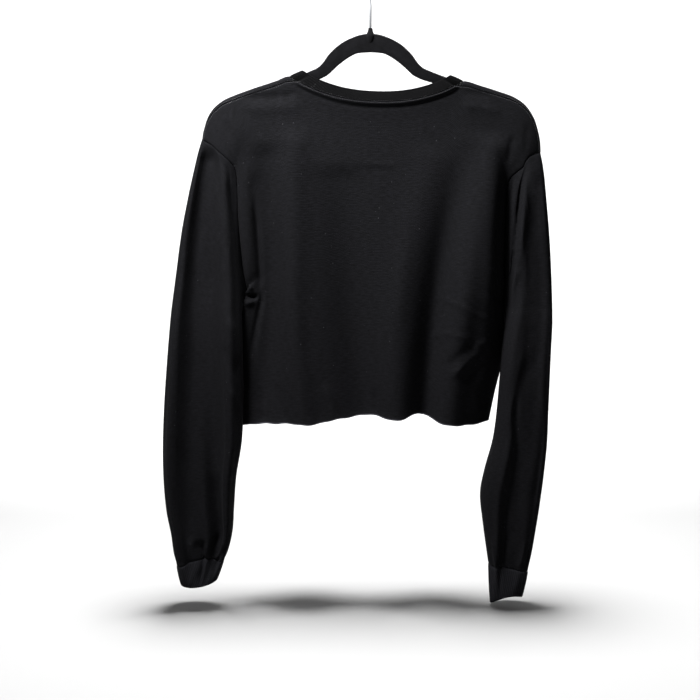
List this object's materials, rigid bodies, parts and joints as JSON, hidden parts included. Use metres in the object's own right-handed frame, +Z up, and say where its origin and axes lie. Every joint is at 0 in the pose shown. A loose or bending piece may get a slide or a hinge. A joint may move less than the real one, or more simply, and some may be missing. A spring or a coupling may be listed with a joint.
{
  "type": "long-sleeve crop top on a hanger",
  "caption": "Long-sleeve cropped jersey T-shirt with ribbed crew neck and cuffs and a raw-cut hem, hanging from a thin flocked hanger with a wire hook.",
  "frame": {"origin": "point inside the hook's bend that lies on a rail, in the middle of the wire's thickness", "axes": "+Z up; -Y is the side the garment's back faces; +X is the wearer's right"},
  "size_m": [0.523, 0.1136, 0.8692],
  "materials": {
    "jersey": "matte black cotton jersey",
    "rib": "matte black cotton rib",
    "flock": "black flocked plastic",
    "wire": "thin plated steel wire"
  },
  "bodies": {
    "root": {"back": "jersey", "front": "jersey", "sleeve_left": "jersey", "sleeve_right": "jersey", "neckband": "rib", "cuff_left": "rib", "cuff_right": "rib", "hanger": "flock", "hook": "wire"}
  },
  "joints": []
}
